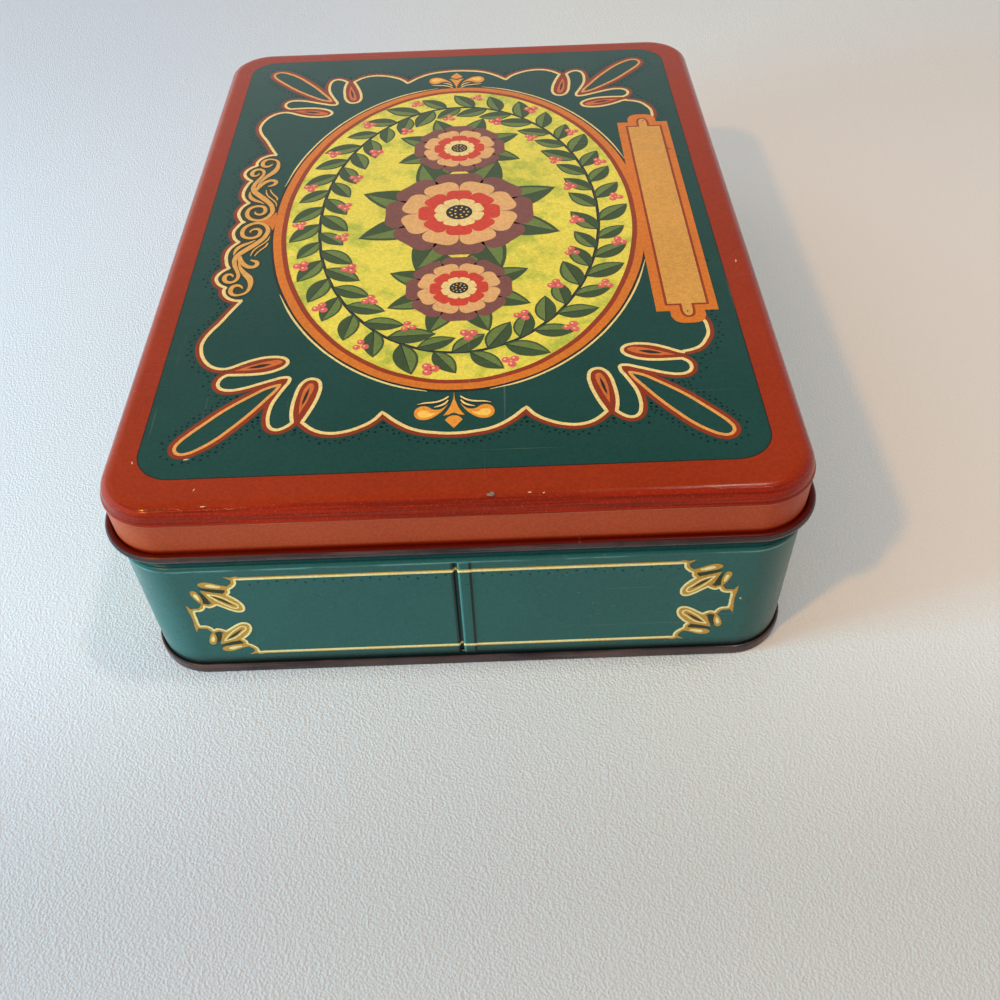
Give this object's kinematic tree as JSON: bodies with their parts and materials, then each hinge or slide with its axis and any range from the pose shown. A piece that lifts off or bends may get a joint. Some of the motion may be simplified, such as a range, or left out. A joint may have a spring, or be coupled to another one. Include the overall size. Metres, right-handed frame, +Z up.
{
  "type": "biscuit tin",
  "caption": "Rectangular tinplate biscuit tin with rounded corners, a lift-off lid with a rounded shoulder and curled rim, a lock-seamed body and a double-seamed base.",
  "frame": {"origin": "centre of the tin's footprint, on the surface it stands on", "axes": "+X across the short side, +Y along the long side towards the back, +Z up out of the lid; the side seam is on the -Y front"},
  "size_m": [0.1824, 0.252, 0.0665],
  "materials": {
    "lid_print": "printed tinplate under a worn gloss varnish",
    "body_print": "printed tinplate under a worn gloss varnish",
    "bare_tinplate": "dull aged tinplate"
  },
  "bodies": {
    "tin": {"body_wall": "body_print", "bottom_panel": "bare_tinplate"},
    "lid": {"lid": "lid_print"}
  },
  "joints": [
    {"name": "lid_lift", "type": "slide", "parent": "tin", "child": "lid", "axis": [0, 0, 1], "range_m": [0, 0.1]}
  ]
}
